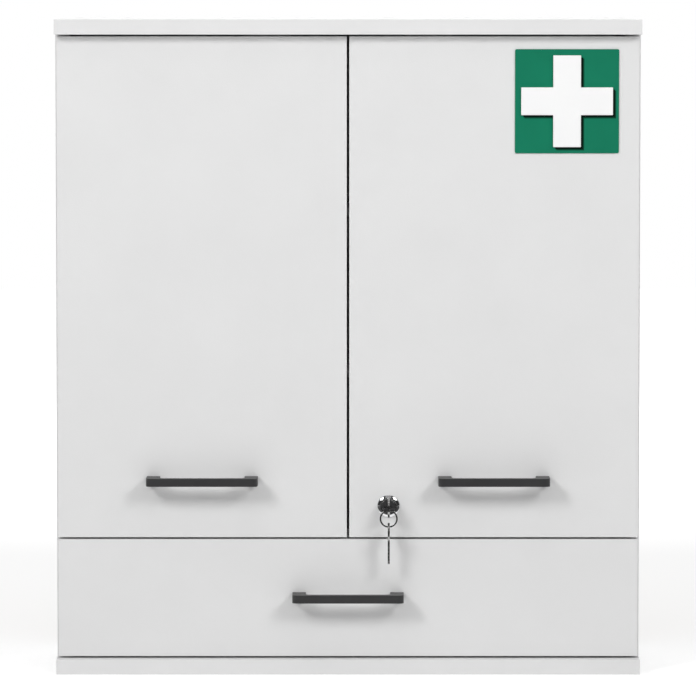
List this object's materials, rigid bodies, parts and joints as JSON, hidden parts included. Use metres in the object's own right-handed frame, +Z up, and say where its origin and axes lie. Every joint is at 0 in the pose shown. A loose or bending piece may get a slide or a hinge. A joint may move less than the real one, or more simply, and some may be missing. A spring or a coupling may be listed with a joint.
{
  "type": "lockable medicine cabinet",
  "caption": "White lockable medicine cabinet with doors on concealed hinges above a drawer on roller runners, bow handles, and a cam lock with keys.",
  "frame": {"origin": "centre of the underside of the bottom board", "axes": "+X to the right seen from the front, +Y to the rear (wall side), +Z up"},
  "size_m": [0.58, 0.236, 0.65],
  "materials": {
    "carcass_board": "white melamine-faced chipboard, fine pearl texture",
    "front_board": "white melamine-faced chipboard, fine pearl texture",
    "drawer_board": "white melamine-faced chipboard",
    "back_sheet": "thin hardboard, white inside, bare brown behind",
    "drawer_sheet": "thin white sheet",
    "zinc_fastener": "zinc plated",
    "nickel_hinge": "nickel plated",
    "zinc_steel": "zinc plated steel",
    "white_plastic": "moulded, satin",
    "magnet": "ferrite magnet",
    "runner_steel": "white epoxy-coated steel",
    "roller_plastic": "moulded nylon",
    "buffer": "soft clear-grey elastomer",
    "handle_coat": "anthracite powder coat, satin",
    "lock_chrome": "polished chrome",
    "lock_plug": "polished nickel",
    "key_nickel": "nickel-plated brass, lightly brushed",
    "dowel_wood": "beech"
  },
  "bodies": {
    "carcass": {"top_board": "carcass_board", "bottom_board": "carcass_board", "left_side": "carcass_board", "right_side": "carcass_board", "fixed_shelf": "carcass_board", "back_panel": "back_sheet", "hanging_rail": "carcass_board", "lower_shelf": "carcass_board", "upper_shelf": "carcass_board", "shelf_pins": "zinc_fastener", "cam_fittings": "zinc_fastener", "cam_bolts": "zinc_fastener", "shelf_confirmats": "zinc_fastener", "hinge_arms": "nickel_hinge", "hinge_pins": "nickel_hinge", "hinge_plates": "nickel_hinge", "hinge_screws": "zinc_fastener", "door_catches": "white_plastic", "catch_magnets": "magnet", "strike_plate": "zinc_steel", "strike_screws": "zinc_fastener", "runner_rails": "runner_steel", "rail_screws": "zinc_fastener"},
    "rail_rollers": {"rail_rollers": "roller_plastic"},
    "left_door": {"left_door": "front_board", "left_hinge_cups": "nickel_hinge", "left_door_screws": "zinc_fastener", "left_handle": "handle_coat", "left_handle_screws": "zinc_fastener", "left_catch_plate": "zinc_steel", "left_buffers": "buffer", "bolt_guide": "zinc_steel"},
    "door_bolt": {"door_bolt": "zinc_steel"},
    "right_door": {"right_door": "front_board", "right_hinge_cups": "nickel_hinge", "right_door_screws": "zinc_fastener", "right_handle": "handle_coat", "right_handle_screws": "zinc_fastener", "right_catch_plate": "zinc_steel", "right_buffers": "buffer", "lock_housing": "lock_chrome", "lock_nut": "zinc_steel"},
    "lock_plug": {"lock_plug": "lock_plug", "lock_cam": "zinc_steel", "cam_screw": "zinc_fastener"},
    "key": {"key": "key_nickel"},
    "key_ring": {"key_ring": "key_nickel"},
    "drawer": {"drawer_front": "front_board", "drawer_left_side": "drawer_board", "drawer_right_side": "drawer_board", "drawer_back": "drawer_board", "drawer_bottom": "drawer_sheet", "drawer_dowels": "dowel_wood", "drawer_handle": "handle_coat", "drawer_handle_screws": "zinc_fastener", "drawer_buffers": "buffer", "drawer_screws": "zinc_fastener", "runner_slides": "runner_steel"},
    "slide_rollers": {"slide_rollers": "roller_plastic"}
  },
  "joints": [
    {"name": "left_door_swing", "type": "hinge", "parent": "carcass", "child": "left_door", "pos_m": [-0.28234, -0.0922, 0.3845], "axis": [0, 0, -1], "range_deg": [0, 95]},
    {"name": "right_door_swing", "type": "hinge", "parent": "carcass", "child": "right_door", "pos_m": [0.28234, -0.0922, 0.3845], "axis": [0, 0, 1], "range_deg": [0, 95]},
    {"name": "drawer_slide", "type": "slide", "parent": "carcass", "child": "drawer", "axis": [0, -1, 0], "range_m": [0, 0.11]},
    {"name": "rail_roller_spin", "type": "hinge", "parent": "carcass", "child": "rail_rollers", "pos_m": [0, -0.069, 0.0342], "axis": [1, 0, 0], "range_deg": [0, 800]},
    {"name": "slide_roller_spin", "type": "hinge", "parent": "drawer", "child": "slide_rollers", "pos_m": [0, 0.068, 0.0342], "axis": [1, 0, 0], "range_deg": [0, 800]},
    {"name": "door_bolt_slide", "type": "slide", "parent": "left_door", "child": "door_bolt", "axis": [0, 0, 1], "range_m": [0, 0.01]},
    {"name": "lock_turn", "type": "hinge", "parent": "right_door", "child": "lock_plug", "pos_m": [0.0403, -0.098, 0.167], "axis": [0, -1, 0], "range_deg": [0, 90]},
    {"name": "key_pull", "type": "slide", "parent": "lock_plug", "child": "key", "axis": [0, -1, 0], "range_m": [0, 0.018]},
    {"name": "key_ring_swing", "type": "hinge", "parent": "key", "child": "key_ring", "pos_m": [0.0403, -0.1187, 0.16515], "axis": [1, 0, 0], "range_deg": [-60, 8]}
  ],
  "couplings": [
    {"joint": "rail_roller_spin", "follows": "drawer_slide", "rad_per_m": 125},
    {"joint": "slide_roller_spin", "follows": "drawer_slide", "rad_per_m": 125}
  ]
}
